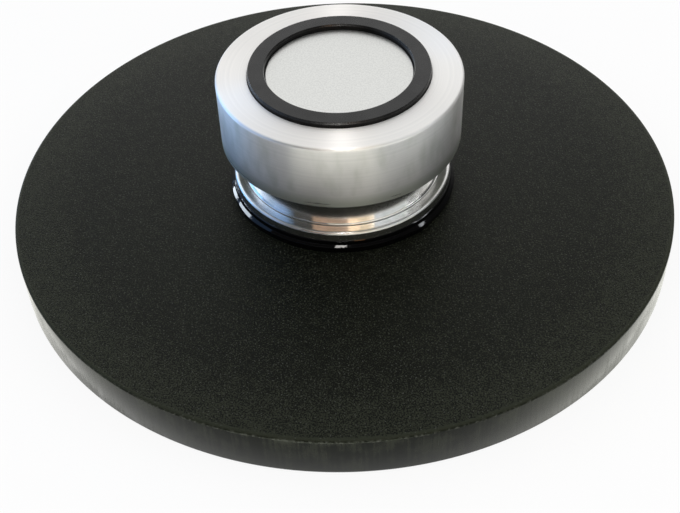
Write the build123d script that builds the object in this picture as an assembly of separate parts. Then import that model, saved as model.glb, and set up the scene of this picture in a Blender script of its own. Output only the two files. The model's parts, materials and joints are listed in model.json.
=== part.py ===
from build123d import *
import os

# A record weight: a plastic label disc with a turned aluminium weight bonded on its centre.
# Millimetres, +Z up. The origin is the centre of the face that lies on the record's label.

# Spindle of a record player, and the plain hole that drops over it
spindle_d = 7.15
spindle_clearance = 0.15
spindle_hole_depth = 16.0
spindle_lead_in = 0.6

# Label disc
disc_d = 100.0
disc_t = 6.8
disc_edge_break = 0.4

# Turned weight, from the foot upwards
groove_floor_d = 29.2
groove_h = 6.1
groove_corner_bevel = 0.3
foot_ledge = 1.8
foot_h = 3.3
drum_d = 35.5
drum_h = 10.3
turned_edge_break = 0.4

# Adhesive: a film under the foot, and what was squeezed out round it
film_t = 0.2
film_setback = 1.0
bead_reach = 0.85
bead_h = 2.1
bead_swell = 0.2

# Badge: a plate in the drum's top, with a flat-topped rubber ring pressed in round it
ring_inner_d = 21.4
ring_w = 2.45
ring_proud = 0.8
ring_edge_round = 0.22
ring_clearance = 0.05
recess_depth = 1.2
recess_edge_break = 0.1
badge_drop = 0.05
badge_edge_break = 0.15

# Radii and heights that follow
hole_r = (spindle_d + spindle_clearance) / 2
disc_r = disc_d / 2
groove_floor_r = groove_floor_d / 2
foot_r = groove_floor_r + foot_ledge
drum_r = drum_d / 2
ring_inner_r = ring_inner_d / 2
ring_outer_r = ring_inner_r + ring_w
recess_r = ring_outer_r + ring_clearance
badge_r = ring_inner_r - ring_clearance

foot_bottom = disc_t + film_t
foot_top = foot_bottom + foot_h
drum_bottom = foot_top + groove_h
drum_top = drum_bottom + drum_h
recess_floor = drum_top - recess_depth
badge_top = drum_top - badge_drop
ring_top = drum_top + ring_proud

# How close a rim's radius and height have to be to the ones asked for
rim_match = 0.001


# The circular edge of a turned piece with this radius, at this height
def rim(piece, radius, height):
    circles = piece.edges().filter_by(GeomType.CIRCLE)
    at_height = [c for c in circles if abs(c.arc_center.Z - height) < rim_match]
    return [c for c in at_height if abs(c.radius - radius) < rim_match]


def base_disc():
    with BuildPart() as disc:
        Cylinder(disc_r, disc_t, align=(Align.CENTER, Align.CENTER, Align.MIN))
        Hole(hole_r)
        chamfer(rim(disc, disc_r, 0) + rim(disc, disc_r, disc_t), disc_edge_break)
        chamfer(rim(disc, hole_r, 0), spindle_lead_in)
    return disc.part


def weight():
    with BuildPart() as turned:
        with BuildSketch(Plane.XZ):
            with BuildLine():
                Polyline(
                    (hole_r, foot_bottom),
                    (foot_r, foot_bottom),
                    (foot_r, foot_top),
                    (groove_floor_r, foot_top),
                    (groove_floor_r, drum_bottom),
                    (drum_r, drum_bottom),
                    (drum_r, drum_top),
                    (recess_r, drum_top),
                    (recess_r, recess_floor),
                    (0, recess_floor),
                    (0, spindle_hole_depth),
                    (hole_r, spindle_hole_depth),
                    close=True,
                )
            make_face()
        revolve(axis=Axis.Z)
        groove_corners = rim(turned, groove_floor_r, foot_top) + rim(turned, groove_floor_r, drum_bottom)
        chamfer(groove_corners, groove_corner_bevel)
        drum_rims = rim(turned, drum_r, drum_bottom) + rim(turned, drum_r, drum_top)
        chamfer(drum_rims + rim(turned, foot_r, foot_top), turned_edge_break)
        chamfer(rim(turned, recess_r, drum_top), recess_edge_break)
    return turned.part


def adhesive_bead():
    film_inner_r = hole_r + film_setback
    bead_foot = (foot_r + bead_reach, disc_t)
    bead_crest = (foot_r, disc_t + bead_h)
    with BuildPart() as bead:
        with BuildSketch(Plane.XZ):
            with BuildLine():
                SagittaArc(bead_crest, bead_foot, bead_swell)
                Polyline(
                    bead_foot,
                    (film_inner_r, disc_t),
                    (film_inner_r, foot_bottom),
                    (foot_r, foot_bottom),
                    bead_crest,
                )
            make_face()
        revolve(axis=Axis.Z)
    return bead.part


def badge_ring():
    with BuildPart() as ring:
        with BuildSketch(Plane.XY.offset(recess_floor)):
            Circle(ring_outer_r)
            Circle(ring_inner_r, mode=Mode.SUBTRACT)
        extrude(amount=ring_top - recess_floor)
        fillet(rim(ring, ring_inner_r, ring_top) + rim(ring, ring_outer_r, ring_top), ring_edge_round)
    return ring.part


def badge_plate():
    with BuildPart() as plate:
        with Locations((0, 0, recess_floor)):
            Cylinder(badge_r, badge_top - recess_floor, align=(Align.CENTER, Align.CENTER, Align.MIN))
        chamfer(rim(plate, badge_r, badge_top), badge_edge_break)
    return plate.part


pieces = {
    "base_disc": base_disc(),
    "weight": weight(),
    "adhesive_bead": adhesive_bead(),
    "badge_ring": badge_ring(),
    "badge_plate": badge_plate(),
}

os.makedirs("parts", exist_ok=True)
for name, piece in pieces.items():
    piece.label = name
    export_step(piece, f"parts/{name}.step")
    print(f"{name}: {piece.volume:.1f} mm3")
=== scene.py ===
import json
import math
import bmesh
import bpy
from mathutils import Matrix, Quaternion, Vector


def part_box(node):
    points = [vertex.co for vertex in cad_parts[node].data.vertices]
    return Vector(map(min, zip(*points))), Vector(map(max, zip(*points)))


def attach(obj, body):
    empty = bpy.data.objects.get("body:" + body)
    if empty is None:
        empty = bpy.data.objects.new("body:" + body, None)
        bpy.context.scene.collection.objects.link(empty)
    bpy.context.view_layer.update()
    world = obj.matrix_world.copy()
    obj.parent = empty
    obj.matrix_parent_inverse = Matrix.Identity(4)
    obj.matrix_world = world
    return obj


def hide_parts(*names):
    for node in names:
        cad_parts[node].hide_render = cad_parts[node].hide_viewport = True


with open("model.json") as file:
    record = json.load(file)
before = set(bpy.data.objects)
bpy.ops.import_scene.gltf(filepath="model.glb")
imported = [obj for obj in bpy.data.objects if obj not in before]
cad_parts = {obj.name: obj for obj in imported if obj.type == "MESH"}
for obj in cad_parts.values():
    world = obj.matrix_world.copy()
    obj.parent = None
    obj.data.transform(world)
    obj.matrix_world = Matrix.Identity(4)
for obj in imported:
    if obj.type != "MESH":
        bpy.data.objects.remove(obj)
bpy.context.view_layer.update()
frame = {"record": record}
mm = 0.001  # the frame is in metres, the sizes of the pieces below in millimetres


def span(node):  # radius, bottom and top of a turned node
    low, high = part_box(node)
    return high.x / mm, low.z / mm, high.z / mm


def shortOf(limit, pair):  # two bounds, given as distances short of a limit
    return [limit - distance for distance in pair]


discRadius, discBottom, discTop = span("base_disc")
drumRadius, footBottom, drumTop = span("weight")
_, beadBottom, beadTop = span("adhesive_bead")
ringRadius, recessFloor, ringTop = span("badge_ring")
badgeRadius, badgeBottom, badgeTop = span("badge_plate")
spindleRadius = frame["record"]["mounts"][0]["dims"]["r_mm"]
print("frame loaded, drum top at", round(drumTop, 2), "mm")


class Wire:  # one output socket, so that node maths reads as maths
    def __init__(self, board, socket):
        self.board = board
        self.socket = socket

    def __add__(self, other):
        return self.board.maths("ADD", self, other)

    def __radd__(self, other):
        return self.board.maths("ADD", other, self)

    def __sub__(self, other):
        return self.board.maths("SUBTRACT", self, other)

    def __rsub__(self, other):
        return self.board.maths("SUBTRACT", other, self)

    def __mul__(self, other):
        return self.board.maths("MULTIPLY", self, other)

    def __rmul__(self, other):
        return self.board.maths("MULTIPLY", other, self)

    def __truediv__(self, other):
        return self.board.maths("DIVIDE", self, other)

    def __rtruediv__(self, other):
        return self.board.maths("DIVIDE", other, self)

    def __pow__(self, other):
        return self.board.maths("POWER", self, other)

    def __rpow__(self, other):
        return self.board.maths("POWER", other, self)

    def most(self, other):
        return self.board.maths("MAXIMUM", self, other)

    def ramp(self, low, high):  # 0 below low, 1 above high, eased between
        limits = {"Value": self, "From Min": low, "From Max": high}
        return self.board.node("ShaderNodeMapRange", {"interpolation_type": "SMOOTHSTEP"}, limits)


class Board:  # a node tree that is filled by calls
    def __init__(self, tree):
        self.tree = tree

    def node(self, kind, settings=None, sockets=None, out=0):
        made = self.tree.nodes.new(kind)
        for key, value in (settings or {}).items():
            setattr(made, key, value)
        for key, value in (sockets or {}).items():
            if isinstance(value, Wire):
                self.tree.links.new(value.socket, made.inputs[key])
            else:
                made.inputs[key].default_value = value
        return Wire(self, made.outputs[out]) if made.outputs else None

    def maths(self, operation, *values):
        return self.node("ShaderNodeMath", {"operation": operation}, dict(enumerate(values)))

    def colours(self, share, first, second):  # either end may be another mix
        ends = [end if isinstance(end, Wire) else (*end, 1) for end in (first, second)]
        return self.node("ShaderNodeMix", {"data_type": "RGBA"}, {0: share, 6: ends[0], 7: ends[1]}, out=2)

    def stretch(self, vector, factors):
        return self.node("ShaderNodeVectorMath", {"operation": "MULTIPLY"}, {0: vector, 1: factors})

    def length(self, vector):
        return self.node("ShaderNodeVectorMath", {"operation": "LENGTH"}, {0: vector}, out="Value")

    def along(self, vector, axis):
        return self.node("ShaderNodeSeparateXYZ", {}, {0: vector}, out=axis)

    def place(self):  # the point itself, in metres
        return self.node("ShaderNodeTexCoord", out="Object")

    def radius(self, place):  # from the axis that every piece is turned about, in millimetres
        return self.length(self.stretch(place, (1, 1, 0))) / mm

    def height(self, place):
        return self.along(place, "Z") / mm

    def noise(self, vector, size, detail=2.0):  # size is about one blotch, in millimetres
        sockets = {"Vector": vector, "Scale": 1 / (size * mm), "Detail": detail}
        return self.node("ShaderNodeTexNoise", {}, sockets)

    def bump(self, height, depth):  # depth is the full relief, in millimetres
        return self.node("ShaderNodeBump", {}, {"Height": height, "Distance": depth * mm, "Strength": 1.0})


def newFinish(name):
    material = bpy.data.materials.new(name)
    material.use_nodes = True
    material.node_tree.nodes.clear()
    return material, Board(material.node_tree)


def principled(board, sockets):
    return board.node("ShaderNodeBsdfPrincipled", {}, sockets)


def closeFinish(board, surface):
    board.node("ShaderNodeOutputMaterial", {}, {"Surface": surface})


# the lathe: a Geometry Nodes tree that turns a section about the axis

weld = 0.001 * mm  # points nearer than this become one
lathe = {"segments": 288, "axle": 1.0, "hold": 0.06, "steps": 5}


def newTree(name, inputs):  # named inputs, given with their socket kinds
    tree = bpy.data.node_groups.new(name, "GeometryNodeTree")
    tree.is_modifier = True
    tree.interface.new_socket("Geometry", in_out="OUTPUT", socket_type="NodeSocketGeometry")
    for label, kind in inputs.items():
        tree.interface.new_socket(label, in_out="INPUT", socket_type="NodeSocket" + kind)
    board = Board(tree)
    return board, {label: board.node("NodeGroupInput", out=label) for label in inputs}


def closeTree(board, geometry, material):
    real = board.node("GeometryNodeRealizeInstances", {}, {"Geometry": geometry})
    smooth = board.node("GeometryNodeSetShadeSmooth", {}, {"Geometry": real})
    painted = board.node("GeometryNodeSetMaterial", {}, {"Geometry": smooth, "Material": material})
    board.node("NodeGroupOutput", {}, {"Geometry": painted})
    return board.tree


latheInputs = {"Profile": "Geometry", "Segments": "Int", "Material": "Material"}


def latheTree():
    board, given = newTree("lathe", latheInputs)
    axle = lathe["axle"] * mm  # the section is carried round a small circle
    circle = {"Resolution": given["Segments"], "Radius": axle}
    path = board.node("GeometryNodeCurvePrimitiveCircle", {}, circle)
    path = board.node("GeometryNodeSetCurveNormal", {"mode": "Z_UP"}, {"Curve": path})
    section = board.node("GeometryNodeMeshToCurve", {}, {"Mesh": given["Profile"]})
    # moved in by the circle's radius, and mirrored because a carried section's cross axis points down
    shift = {"Geometry": section, "Translation": (-axle, 0, 0), "Scale": (1, -1, 1)}
    section = board.node("GeometryNodeTransform", {}, shift)
    turned = board.node("GeometryNodeCurveToMesh", {}, {"Curve": path, "Profile Curve": section})
    closed = board.node("GeometryNodeMergeByDistance", {}, {"Geometry": turned, "Distance": weld})
    return closeTree(board, closed, given["Material"])


turningTree = latheTree()


def addTree(piece, tree, values):  # inputs are set by identifier, before the piece is first evaluated
    modifier = piece.modifiers.new(tree.name, "NODES")
    modifier.node_group = tree
    for item in tree.interface.items_tree:
        if item.in_out == "INPUT" and item.name in values:
            modifier[item.identifier] = values[item.name]


def settle(piece, body="root"):  # the tree's result becomes the piece's own mesh
    graph = bpy.context.evaluated_depsgraph_get()
    made = bpy.data.meshes.new_from_object(piece.evaluated_get(graph))
    piece.modifiers.clear()
    piece.data = made
    work = bmesh.new()
    work.from_mesh(made)
    bmesh.ops.remove_doubles(work, verts=work.verts, dist=weld)
    bmesh.ops.recalc_face_normals(work, faces=work.faces)
    work.to_mesh(made)
    work.free()
    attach(piece, body)
    print(piece.name, "has", len(made.polygons), "faces")
    return piece


def rounded(corners, closed, steps=lathe["steps"]):  # corners are (radius, height, rounding)
    hold = lathe["hold"]  # a loop this far from each rounding keeps the flat beside it flat
    line = []
    count = len(corners)
    for i, (radius, height, rounding) in enumerate(corners):
        here = Vector((radius, height, 0))
        if not closed and i in (0, count - 1):
            line.append(here)
            continue
        back = (Vector((*corners[i - 1][:2], 0)) - here).normalized()
        ahead = (Vector((*corners[(i + 1) % count][:2], 0)) - here).normalized()
        half = back.angle(ahead) / 2
        run = rounding / math.tan(half)
        middle = here + (back + ahead).normalized() * rounding / math.sin(half)
        first = here + back * run - middle
        last = here + ahead * run - middle
        spokes = [first.slerp(last, k / steps) for k in range(steps + 1)]  # each of unit length
        line.append(here + back * (run + hold))
        line += [middle + spoke * rounding for spoke in spokes]
        line.append(here + ahead * (run + hold))
    return line


def profilePiece(name, line, closed):  # the section as a line of edges, ready for the lathe
    mesh = bpy.data.meshes.new(name)
    edges = [(i, i + 1) for i in range(len(line) - 1)]
    if closed:
        edges.append((len(line) - 1, 0))
    mesh.from_pydata([point * mm for point in line], edges, [])
    piece = bpy.data.objects.new(name, mesh)
    bpy.context.scene.collection.objects.link(piece)
    return piece


def turn(name, line, closed, material):
    piece = profilePiece(name, line, closed)
    addTree(piece, turningTree, {"Segments": lathe["segments"], "Material": material})
    return settle(piece)


# label disc, moulded with a fine grain and cut round its edge

discSpec = {
    "leadIn": 0.6,
    "edge": 0.4,
    "holeEdge": 0.06,
    "dark": (0.0007, 0.001, 0.0004),
    "light": (0.0188, 0.0214, 0.0138),
    "grain": 0.22,  # size of the moulded grain
    "grainDepth": 0.03,
    "grainShow": (0.48, 0.7),  # noise below the first is dark, above the second light
    "cloud": 1.3,  # size of the grain's broader unevenness
    "cloudShare": 0.22,
    "rimGlow": (12, 1),  # from and to, in from the rim, where a painted glow of light makes it paler
    "rimGlowShare": 0.1,
    "rimPale": (0.7, 0.3),  # and where the rim itself is paler still
    "rimPaleShare": 0.25,
    "paintedGlint": 0.62,  # one painted glint in a cell of this size, in some of the cells
    "paintedGlintEdge": (0.07, 0.18),
    "paintedGlintChance": (0.25, 0.95),
    "glintPaint": (0.044, 0.047, 0.04),
    "faceRough": 0.52,
    "faceVary": 0.3,
    "faceShine": 0.1,
    "faceTint": (0.94, 1.0, 0.86, 1),
    "cutFrom": (0.3, 0.04),  # below the top, where the face goes over into the cut edge
    "cutDark": (0.003, 0.0034, 0.0023),
    "cutLight": (0.0155, 0.0172, 0.0116),
    "cutRough": 0.17,
    "cutVary": 0.5,
    "cutShine": 0.085,
    "cutTint": (0.86, 1.0, 0.76, 1),
    "streak": 0.45,  # width of the marks that run down the edge
    "streakSquash": 0.05,  # and how far their pattern is drawn out
    "streakShare": 0.45,
    "streakDepth": 0.012,
    "blotch": 2.6,
    "blotchDetail": 3.0,
    "wearShow": (0.42, 0.64),
    "sag": 0.8,  # how far the edge seems to fall back at its foot
    "nick": 0.5,  # size of the knocks along the top of the edge
    "nickShow": (0.46, 0.66),
    "nickBand": (0.6, 0.35),
    "nickPale": (0.042, 0.044, 0.037),
}


def grainedPlastic():
    spec = discSpec
    material, board = newFinish("grained_plastic")
    place = board.place()
    radius, height = board.radius(place), board.height(place)
    grain = board.noise(place, spec["grain"], 1.0)
    cells = {"Vector": place, "Scale": 1 / (spec["paintedGlint"] * mm)}
    near = board.node("ShaderNodeTexVoronoi", {"voronoi_dimensions": "2D"}, cells)
    chance = board.node("ShaderNodeTexVoronoi", {"voronoi_dimensions": "2D"}, cells, out="Color")
    draw = board.node("ShaderNodeSeparateColor", {}, {0: chance}, out="Red")
    # painted glints: pale specks in the colour stand for the grain's sparkle
    paintedGlint = (1 - near.ramp(*spec["paintedGlintEdge"])) * draw.ramp(*spec["paintedGlintChance"])
    # painted glow of light makes the face paler towards the rim; the rim itself is paler still
    paler = radius.ramp(*shortOf(discRadius, spec["rimGlow"])) * spec["rimGlowShare"]
    paler = paler + radius.ramp(*shortOf(discRadius, spec["rimPale"])) * spec["rimPaleShare"]
    paler = paler + (board.noise(place, spec["cloud"]) - 0.5) * spec["cloudShare"]
    ground = board.colours((grain + paler).ramp(*spec["grainShow"]), spec["dark"], spec["light"])
    moulded = principled(board, {
        "Base Color": board.colours(paintedGlint, ground, spec["glintPaint"]),
        "Roughness": spec["faceRough"] + (grain - 0.5) * spec["faceVary"],
        "Specular IOR Level": spec["faceShine"],
        "Specular Tint": spec["faceTint"],
        "Normal": board.bump(grain, spec["grainDepth"]),
    })
    drawnOut = board.stretch(place, (1, 1, spec["streakSquash"]))
    streaks = board.noise(drawnOut, spec["streak"], spec["blotchDetail"])
    blotches = board.noise(place, spec["blotch"], spec["blotchDetail"])
    wear = streaks * spec["streakShare"] + blotches * (1 - spec["streakShare"])
    nicks = board.noise(place, spec["nick"]).ramp(*spec["nickShow"])
    nicks = nicks * height.ramp(*shortOf(discTop, spec["nickBand"]))
    stained = board.colours(wear.ramp(*spec["wearShow"]), spec["cutDark"], spec["cutLight"])
    down = (discTop - height) / (discTop - discBottom)
    cut = principled(board, {  # the cut edge shines
        "Base Color": board.colours(nicks, stained, spec["nickPale"]),
        "Roughness": spec["cutRough"] + (wear - 0.5) * spec["cutVary"],
        "Specular IOR Level": spec["cutShine"],
        "Specular Tint": spec["cutTint"],
        "Normal": board.bump(streaks * spec["streakDepth"] - down * down * spec["sag"], 1.0),
    })
    side = 1 - height.ramp(*shortOf(discTop, spec["cutFrom"]))
    closeFinish(board, board.node("ShaderNodeMixShader", {}, {0: side, 1: moulded, 2: cut}))
    return material


def labelDisc():
    spec = discSpec
    line = rounded([
        (spindleRadius, discBottom + spec["leadIn"], spec["holeEdge"]),
        (spindleRadius, discTop, spec["holeEdge"]),
        (discRadius, discTop, spec["edge"]),
        (discRadius, discBottom, spec["edge"]),
        (spindleRadius + spec["leadIn"], discBottom, spec["holeEdge"]),
    ], closed=True)
    piece = turn("label_disc", line, True, grainedPlastic())
    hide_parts("base_disc")
    return piece


# turned weight: foot, finger groove and drum, with a recess in its top

weightSpec = {
    "boreTop": 16.0,
    "grooveRadius": 14.6,
    "footLedge": 1.8,
    "footHeight": 3.3,
    "grooveHeight": 6.1,
    "grooveRound": 0.3,
    "edge": 0.4,
    "lowEdge": 0.2,
    "small": 0.08,
    "recessGap": 0.05,
    "bright": (0.95, 0.938, 0.916),
    "dull": (0.875, 0.867, 0.85),
    "dullShow": (0.3, 0.7),
    "anisotropy": 0.92,
    "anisotropyTurn": 0.25,  # a quarter turn, across the turning marks
    "marks": 0.35,  # pitch of the turning marks
    "marksDetail": 3.0,
    "marksShare": 0.6,
    "mottle": 6.0,
    "vary": 0.2,  # how much marks and mottle each change the roughness
    "wallRough": 0.31,
    "lowRough": 0.94,  # share of that at the foot of the wall
    "lowReach": 5.0,
    "faceRough": 0.4,  # the top was faced off with a coarser feed
    "faceFrom": (0.46, 0.3),
    "grooveRough": 0.14,  # and the finger groove finished finer
    "grooveFrom": (0.35, 0.15),
    "footRough": 0.14,  # what the foot's outer edge has on top of that
    "footIn": (0.6, 0.4),
    "footDown": (0.4, 0.25),
    "stained": (0.6, 0.63, 0.55),  # where hands have dulled the walls, and the colour of the painted shade low on the drum
    "smear": 2.2,
    "smearSquash": 0.45,
    "smearShow": (0.4, 0.8),
    "smearShare": 0.45,
    "shadeUp": (0.5, 2.6),  # above the groove: painted shade, darker towards the drum's foot
    "shadeShare": 0.85,
}
footRadius = weightSpec["grooveRadius"] + weightSpec["footLedge"]
footTop = footBottom + weightSpec["footHeight"]
grooveTop = footTop + weightSpec["grooveHeight"]


def turnedMetal():
    spec = weightSpec
    material, board = newFinish("turned_aluminium")
    place = board.place()
    radius, height = board.radius(place), board.height(place)
    across = (radius + height) / spec["marks"]  # rings on flat faces and on round walls alike
    rings = {"W": across, "Scale": 1.0, "Detail": spec["marksDetail"]}
    marks = board.node("ShaderNodeTexNoise", {"noise_dimensions": "1D"}, rings)
    mottle = board.noise(place, spec["mottle"], 0.0)
    face = height.ramp(*shortOf(drumTop, spec["faceFrom"]))
    groove = 1 - height.ramp(*shortOf(grooveTop, spec["grooveFrom"]))
    foot = radius.ramp(*shortOf(footRadius, spec["footIn"]))
    foot = foot * height.ramp(*shortOf(footTop, spec["footDown"]))
    climb = height.ramp(grooveTop, grooveTop + spec["lowReach"])
    wall = (1 - face - groove) * spec["wallRough"]
    wall = wall * (spec["lowRough"] + climb * (1 - spec["lowRough"]))
    fine = spec["grooveRough"] + foot * spec["footRough"]
    rough = face * spec["faceRough"] + groove * fine + wall
    wear = marks * spec["marksShare"] + mottle * (1 - spec["marksShare"])
    clean = board.colours(wear.ramp(*spec["dullShow"]), spec["dull"], spec["bright"])
    smears = board.noise(board.stretch(place, (1, 1, spec["smearSquash"])), spec["smear"])
    smears = smears.ramp(*spec["smearShow"]) * (1 - face) * spec["smearShare"]
    # painted shade: the drum's wall darker towards its foot, just above the groove
    paintedShade = 1 - height.ramp(*(grooveTop + up for up in spec["shadeUp"]))
    paintedShade = paintedShade * (1 - groove) * spec["shadeShare"]
    closeFinish(board, principled(board, {
        "Base Color": board.colours(smears.most(paintedShade), clean, spec["stained"]),
        "Metallic": 1.0,
        "Roughness": rough * (1 - spec["vary"] + marks * spec["vary"] + mottle * spec["vary"]),
        "Anisotropic": spec["anisotropy"],
        "Anisotropic Rotation": spec["anisotropyTurn"],
    }))
    return material


def turnedWeight():
    spec = weightSpec
    recess = ringRadius + spec["recessGap"]
    line = rounded([
        (0, spec["boreTop"], 0),
        (spindleRadius, spec["boreTop"], spec["small"]),
        (spindleRadius, footBottom, spec["small"]),
        (footRadius, footBottom, spec["small"]),
        (footRadius, footTop, spec["edge"]),
        (spec["grooveRadius"], footTop, spec["grooveRound"]),
        (spec["grooveRadius"], grooveTop, spec["grooveRound"]),
        (drumRadius, grooveTop, spec["lowEdge"]),
        (drumRadius, drumTop, spec["edge"]),
        (recess, drumTop, spec["small"]),
        (recess, recessFloor, spec["small"]),
        (0, recessFloor, 0),
    ], closed=False)
    piece = turn("turned_weight", line, False, turnedMetal())
    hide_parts("weight")
    return piece


# adhesive squeezed out round the foot: turned on the lathe, and then made uneven by a tree of its own

beadSpec = {
    "setback": 1.0,  # of the film under the foot, from the spindle hole
    "wiped": 0.18,  # thickness of what was wiped up the foot's wall
    "wipedDrop": 0.15,
    "wipedRound": 0.1,
    "lip": 0.02,  # rounding of its thin upper end
    "hollowOut": 0.2,  # the hollow between wall and nose, out from the foot and up from the nose
    "hollowUp": 0.56,
    "hollowRound": 0.25,
    "noseOut": 0.76,
    "noseUp": 0.84,
    "noseRound": 0.35,
    "toeOut": 0.58,
    "corner": 0.03,
    "steps": 8,
    "segments": 480,
    "waves": 3.0,
    "uneven": 0.25,
    "front": (0.45, 0.95),
    "thin": 0.53,  # less was squeezed out at the front
    "lumpAngle": -48.0,  # degrees round the axis, from +X
    "lumpWidth": 6.0,
    "lumpSize": 0.3,
    "seed": 4.0,
    "dark": (0.0004, 0.0004, 0.0005),
    "light": (0.001, 0.001, 0.0012),
    "rough": 0.06,
    "shine": 0.4,
    "cloud": 1.6,
    "cloudShow": (0.5, 0.8),
    "cloudRough": 0.1,
    "cloudDepth": 0.035,
}


def glossyGlue():
    spec = beadSpec
    material, board = newFinish("glossy_adhesive")
    clouds = board.noise(board.place(), spec["cloud"])
    closeFinish(board, principled(board, {
        "Base Color": board.colours(clouds, spec["dark"], spec["light"]),
        "Roughness": spec["rough"] + clouds.ramp(*spec["cloudShow"]) * spec["cloudRough"],
        "Specular IOR Level": spec["shine"],
        "Normal": board.bump(clouds, spec["cloudDepth"]),
    }))
    return material


def beadTree():
    board, given = newTree("squeezed_bead", {
        **latheInputs,
        "Uneven": "Float",
        "Seed": "Float",
        "Thin": "Float",
        "Lump Angle": "Float",
        "Lump Width": "Float",
        "Lump Size": "Float",
    })
    passedOn = {label: given[label] for label in latheInputs}
    turned = board.node("GeometryNodeGroup", {"node_tree": turningTree}, passedOn)
    flat = board.stretch(board.node("GeometryNodeInputPosition"), (1, 1, 0))
    outward = board.node("ShaderNodeVectorMath", {"operation": "NORMALIZE"}, {0: flat})
    reach = (board.length(flat) - footRadius * mm).most(0)  # nothing moves on the foot's wall
    wobble = {"Vector": outward, "W": given["Seed"], "Scale": beadSpec["waves"], "Detail": 2.0}
    wave = board.node("ShaderNodeTexNoise", {"noise_dimensions": "4D"}, wobble) - 0.5
    x, y = board.along(outward, "X"), board.along(outward, "Y")
    angle = board.maths("ARCTAN2", y, x) * math.degrees(1)
    away = (angle - given["Lump Angle"]) / given["Lump Width"]
    lump = math.e ** (away * away * -1) * given["Lump Size"]
    front = (y * -1).ramp(*beadSpec["front"])
    gain = wave * given["Uneven"] + lump - front * given["Thin"]
    offset = board.node("ShaderNodeVectorMath", {"operation": "SCALE"}, {0: outward, "Scale": reach * gain})
    moved = board.node("GeometryNodeSetPosition", {}, {"Geometry": turned, "Offset": offset})
    return closeTree(board, moved, given["Material"])


def adhesiveBead():
    spec = beadSpec
    filmInner = spindleRadius + spec["setback"]
    noseTop = beadBottom + spec["noseUp"]
    line = rounded([
        (footRadius, beadTop, spec["lip"]),
        (footRadius + spec["wiped"], beadTop - spec["wipedDrop"], spec["wipedRound"]),
        (footRadius + spec["hollowOut"], noseTop + spec["hollowUp"], spec["hollowRound"]),
        (footRadius + spec["noseOut"], noseTop, spec["noseRound"]),
        (footRadius + spec["toeOut"], beadBottom, spec["corner"]),
        (filmInner, beadBottom, spec["corner"]),
        (filmInner, footBottom, spec["corner"]),
        (footRadius, footBottom, spec["corner"]),
    ], closed=True, steps=spec["steps"])
    piece = profilePiece("squeezed_adhesive", line, True)
    addTree(piece, beadTree(), {
        "Segments": spec["segments"],
        "Material": glossyGlue(),
        "Uneven": spec["uneven"],
        "Seed": spec["seed"],
        "Thin": spec["thin"],
        "Lump Angle": spec["lumpAngle"],
        "Lump Width": spec["lumpWidth"],
        "Lump Size": spec["lumpSize"],
    })
    settle(piece)
    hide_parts("adhesive_bead")
    return piece


# rubber ring round the badge

ringSpec = {
    "width": 2.45,
    "facetRun": 0.12,
    "facetDrop": 0.29,
    "round": 0.06,
    "foot": 0.1,
    "top": {"dark": (0.004, 0.004, 0.0038), "light": (0.011, 0.011, 0.0105), "rough": 0.27, "shine": 0.4},
    # the wall skin is painted shade: darker and duller than the top's
    "wall": {"dark": (0.0025, 0.0025, 0.0024), "light": (0.006, 0.006, 0.0057), "rough": 0.4, "shine": 0.1},
    "topFrom": (0.38, 0.3),  # below this the walls take the wall skin, a painted shade, darker and duller than the top
    "vary": 0.16,
    "grain": 0.25,
    "grainDepth": 0.008,
    "cloud": 3.0,
    "cloudShow": (0.3, 0.7),
}


def satinRubber():
    spec = ringSpec
    material, board = newFinish("satin_rubber")
    place = board.place()
    grain = board.noise(place, spec["grain"])
    clouds = board.noise(place, spec["cloud"]).ramp(*spec["cloudShow"])
    relief = board.bump(grain, spec["grainDepth"])
    wall, top = [principled(board, {
        "Base Color": board.colours(clouds, skin["dark"], skin["light"]),
        "Roughness": skin["rough"] + (grain - 0.5) * spec["vary"],
        "Specular IOR Level": skin["shine"],
        "Normal": relief,
    }) for skin in (spec["wall"], spec["top"])]
    # painted shade on the walls, below the top
    aboveShade = board.height(place).ramp(*shortOf(ringTop, spec["topFrom"]))
    closeFinish(board, board.node("ShaderNodeMixShader", {}, {0: aboveShade, 1: wall, 2: top}))
    return material


def rubberRing():
    spec = ringSpec
    inner = ringRadius - spec["width"]
    facetFoot = ringTop - spec["facetDrop"]
    line = rounded([
        (inner, recessFloor, spec["foot"]),
        (inner, facetFoot, spec["round"]),
        (inner + spec["facetRun"], ringTop, spec["round"]),
        (ringRadius - spec["facetRun"], ringTop, spec["round"]),
        (ringRadius, facetFoot, spec["round"]),
        (ringRadius, recessFloor, spec["foot"]),
    ], closed=True)
    piece = turn("rubber_ring", line, True, satinRubber())
    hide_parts("badge_ring")
    return piece


# bare badge plate

badgeSpec = {
    "edge": 0.15,
    "foot": 0.06,
    "dark": (0.66, 0.665, 0.645),
    "light": (0.78, 0.785, 0.76),
    "rough": 0.34,
    "vary": 0.2,
    "grain": 0.22,  # left by the blasting
    "grainDepth": 0.006,
    "grainShow": (0.3, 0.7),
}


def blastedMetal():
    spec = badgeSpec
    material, board = newFinish("blasted_badge")
    grain = board.noise(board.place(), spec["grain"])
    closeFinish(board, principled(board, {
        "Base Color": board.colours(grain.ramp(*spec["grainShow"]), spec["dark"], spec["light"]),
        "Metallic": 1.0,
        "Roughness": spec["rough"] + (grain - 0.5) * spec["vary"],
        "Normal": board.bump(grain, spec["grainDepth"]),
    }))
    return material


def badgePlate():
    line = rounded([
        (0, badgeBottom, 0),
        (badgeRadius, badgeBottom, badgeSpec["foot"]),
        (badgeRadius, badgeTop, badgeSpec["edge"]),
        (0, badgeTop, 0),
    ], closed=False)
    piece = turn("bare_plate", line, False, blastedMetal())
    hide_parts("badge_plate")


disc = labelDisc()
weight = turnedWeight()
bead = adhesiveBead()
ring = rubberRing()
badgePlate()

# floor and world: white to the camera, and uneven where a piece mirrors them

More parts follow.
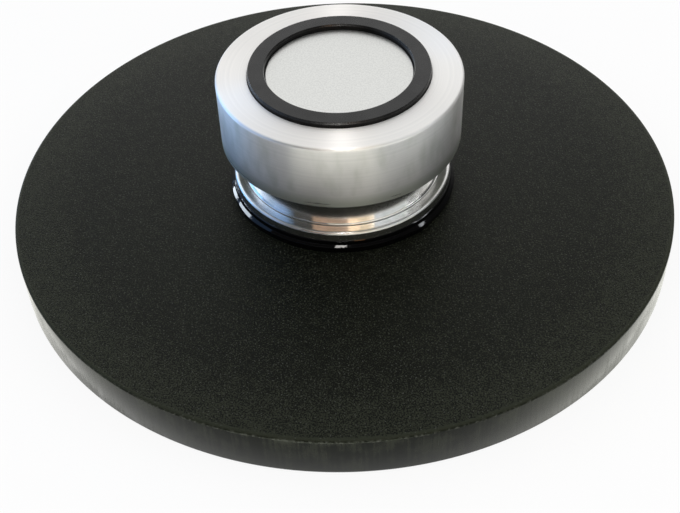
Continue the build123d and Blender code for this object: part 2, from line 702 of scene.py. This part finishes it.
stage = {
    "floorHalf": 3000,
    "drop": 0.1,  # the floor lies this far below the disc
    "floorWhite": 0.93,
    "seenWhite": 1.0,
    "seenShare": 0.88,  # the rest of what is seen is lit, and keeps the shadow
    "dimSide": 118,  # mirrored, the floor is dim on the right and blue on the left, away from the disc
    "dim": (0.1, 0.1, 0.1),
    "blueSide": -112,
    "blue": (0.42, 0.61, 0.96),
    "away": (62, 105),
    "pale": (1.6, 1.6, 1.48),  # and pale close to the disc's sides
    "close": (56, 78),
    "beside": (10, 34),
    "leftShare": 0.6,
}


def heading(azimuth, elevation):  # azimuth 0 is the camera's side, 90 the right
    turnBy, lift = math.radians(azimuth), math.radians(elevation)
    level = math.cos(lift)
    return Vector((math.sin(turnBy) * level, -math.cos(turnBy) * level, math.sin(lift)))


def raysSeen(board):  # 1 for rays that show the background, and 1 for those of them that are mirrored
    kinds = ("Camera", "Glossy", "Transmission")
    camera, glossy, glass = [board.node("ShaderNodeLightPath", out=f"Is {kind} Ray") for kind in kinds]
    return camera.most(glossy).most(glass), glossy


def floorWhite():
    material, board = newFinish("floor_white")
    seen, glossy = raysSeen(board)
    place = board.place()
    right = board.along(place, "X") / mm
    close = 1 - board.radius(place).ramp(*stage["close"])
    beside = right.most(right * -stage["leftShare"]).ramp(*stage["beside"])
    shown = board.colours(glossy * close * beside, [stage["seenWhite"]] * 3, stage["pale"])
    for side in ("dim", "blue"):
        towards = {0: place, 1: heading(stage[side + "Side"], 0)}
        reach = board.node("ShaderNodeVectorMath", {"operation": "DOT_PRODUCT"}, towards, out="Value") / mm
        shown = board.colours(glossy * reach.ramp(*stage["away"]), shown, stage[side])
    matt = board.node("ShaderNodeBsdfDiffuse", {}, {"Color": (*[stage["floorWhite"]] * 3, 1)})
    glow = board.node("ShaderNodeEmission", {}, {"Color": shown})
    shares = {0: seen * stage["seenShare"], 1: matt, 2: glow}
    closeFinish(board, board.node("ShaderNodeMixShader", {}, shares))
    material.cycles.emission_sampling = "NONE"
    return material


def paleFloor():
    half, level = stage["floorHalf"] * mm, -stage["drop"] * mm
    mesh = bpy.data.meshes.new("floor")
    corners = [(-half, -half, level), (half, -half, level), (half, half, level), (-half, half, level)]
    mesh.from_pydata(corners, [], [(0, 1, 2, 3)])
    mesh.materials.append(floorWhite())
    floor = bpy.data.objects.new("floor", mesh)
    bpy.context.scene.collection.objects.link(floor)


air = {
    "ambient": 0.7,
    "dim": 0.06,  # mirrored, the studio is dim on the camera's side
    "show": (0.0, 0.8),
    "lift": 1.0,
    "sides": 0.7,  # and somewhat at the sides
    "leftShare": 1.05,
}


def paleWorld():
    world = bpy.data.worlds.new("studio")
    bpy.context.scene.world = world
    world.use_nodes = True
    world.node_tree.nodes.clear()
    board = Board(world.node_tree)
    seen, glossy = raysSeen(board)
    towards = board.node("ShaderNodeTexCoord", out="Generated")
    right, behind, above = [board.along(towards, axis) for axis in "XYZ"]
    beside = right.most(right * -air["leftShare"])
    bright = (behind + above * air["lift"] - beside * air["sides"]).ramp(*air["show"])
    mirrored = air["dim"] + bright * (1 - air["dim"])
    shown = 1 - glossy * (1 - mirrored)
    strength = air["ambient"] + seen * (shown - air["ambient"])
    light = board.node("ShaderNodeBackground", {}, {"Color": (1, 1, 1, 1), "Strength": strength})
    board.node("ShaderNodeOutputWorld", {}, {"Surface": light})


# each lamp: azimuth and elevation in degrees, distance, width and height in metres, radiance, colour

lamps = {
    "streakLamp": (0, 74, 0.5, 0.06, 0.12, 14, (1.0, 0.97, 0.95)),
    "creamCard": (20, 43, 0.4, 0.165, 0.13, 1.1, (1.0, 0.8, 0.55)),
    "brownCard": (-10, 43, 0.4, 0.3, 0.13, 0.5, (1.0, 0.63, 0.42)),
    "whiteCard": (57, 43, 0.4, 0.26, 0.14, 0.85, (0.9, 0.95, 1.0)),
    "blueWall": (-104, 28, 0.6, 0.86, 0.42, 0.68, (0.27, 0.52, 1.0)),
    "neckPane": (-122, 40, 0.5, 0.12, 0.08, 0.35, (0.85, 0.93, 1.0)),
    "leftWindow": (-92, 31, 0.6, 0.16, 0.08, 0.25, (0.75, 0.88, 1.0)),
    "rightWindow": (84, 31, 0.6, 0.2, 0.1, 2.2, (0.92, 0.96, 1.0)),
}
discLamps = {  # a long low one behind, for the disc alone
    "lowBack": (180, 7, 0.8, 1.4, 0.16, 5.8, (1.0, 0.99, 0.98)),
}
walls = {  # low walls that only the turned weight mirrors
    "frontWall": (26, 4, 0.6, 1.1, 0.3, 1.3, (1.0, 0.99, 0.88)),
    "leftWall": (-114, 4, 0.6, 0.4, 0.3, 2.2, (0.18, 0.5, 1.0)),
}
glints = {  # small bright ones that only the glossy black pieces catch
    "frontGlint": (-3, 7, 0.6, 0.13, 0.04, 15, (1.0, 0.97, 0.93)),
    "orangeGlint": (13, 15, 0.6, 0.1, 0.08, 3, (1.0, 0.5, 0.2)),
    "leftGlint": (-105, 16, 0.7, 0.19, 0.12, 14, (0.8, 0.9, 1.0)),
    "backGlint": (-125, 6, 0.7, 0.14, 0.1, 14, (0.8, 0.9, 1.0)),
    "rightGlint": (80, 30, 0.6, 0.18, 0.08, 6, (0.92, 0.96, 1.0)),
}
ringLamps = {  # and one that only the ring's edge catches
    "ringGlint": (-3, 3, 0.6, 0.44, 0.04, 9, (1.0, 0.98, 0.95)),
}
# bright sheets that lie round the disc and shine up at the drum, each without an elevation
sheets = {
    "frontSheet": (-6, 0.088, 0.08, 0.07, 2.4, (0.98, 0.99, 0.86)),
    "rightSheet": (62, 0.088, 0.1, 0.07, 1.0, (0.86, 0.96, 1.0)),
    "farRightSheet": (112, 0.088, 0.1, 0.07, 0.12, (0.97, 0.99, 1.0)),
    "farLeftSheet": (-112, 0.088, 0.1, 0.07, 2.6, (0.3, 0.57, 1.0)),
}
sheetHeight = 2.0
sheetSpread = 150  # degrees, so that nothing shines along the floor


def areaLamp(name, place, facing, width, height, radiance, colour, spread=180):
    data = bpy.data.lights.new(name, "AREA")
    data.shape = "RECTANGLE"
    data.size, data.size_y = width, height
    data.energy = radiance * math.pi * width * height
    data.color = colour
    data.spread = math.radians(spread)
    lamp = bpy.data.objects.new(name, data)
    lamp.location = place
    lamp.rotation_euler = facing.to_euler()
    bpy.context.scene.collection.objects.link(lamp)
    return lamp


def hangGroup(group, catchers):  # with catchers named, the lamps light nothing else
    aim = Vector((0, 0, drumTop * mm / 2))
    catching = bpy.data.collections.new("catchers") if catchers else None
    for piece in catchers:
        catching.objects.link(piece)
    for name, (azimuth, elevation, distance, *rest) in group.items():
        away = heading(azimuth, elevation)
        lamp = areaLamp(name, aim + away * distance, (-away).to_track_quat("-Z", "Y"), *rest)
        lamp.light_linking.receiver_collection = catching


def laySheets():
    upward = Vector((0, 0, 1)).to_track_quat("-Z", "Y")
    for name, (azimuth, distance, *rest) in sheets.items():
        spin = Quaternion((0, 0, 1), math.radians(azimuth))
        place = heading(azimuth, 0) * distance + Vector((0, 0, sheetHeight * mm))
        areaLamp(name, place, spin @ upward, *rest, sheetSpread)


cameraSetup = {
    "place": (0, -133.85, 121.04),
    "aim": (-0.834, -10.503, 0),  # on the floor
    "roll": -2.19,  # degrees
    "lens": 60.1,
    "sensor": 36,
    "nearest": 10,
}


def placeCamera():
    data = bpy.data.cameras.new("camera")
    data.lens = cameraSetup["lens"]
    data.sensor_width = cameraSetup["sensor"]
    data.clip_start = cameraSetup["nearest"] * mm
    camera = bpy.data.objects.new("camera", data)
    place, aim = (Vector(cameraSetup[key]) * mm for key in ("place", "aim"))
    camera.location = place
    level = (aim - place).to_track_quat("-Z", "Y")
    tilt = Quaternion((0, 0, 1), math.radians(cameraSetup["roll"]))
    camera.rotation_euler = (level @ tilt).to_euler()
    bpy.context.scene.collection.objects.link(camera)
    bpy.context.scene.camera = camera


paleFloor()
paleWorld()
print("floor and world are white")
hangGroup(lamps, [])
hangGroup(discLamps, [disc])
hangGroup(walls, [weight])
hangGroup(glints, [bead, ring])
hangGroup(ringLamps, [ring])
laySheets()
print("lamps hung")
placeCamera()
bpy.context.scene.view_settings.view_transform = "Standard"
print("camera placed")
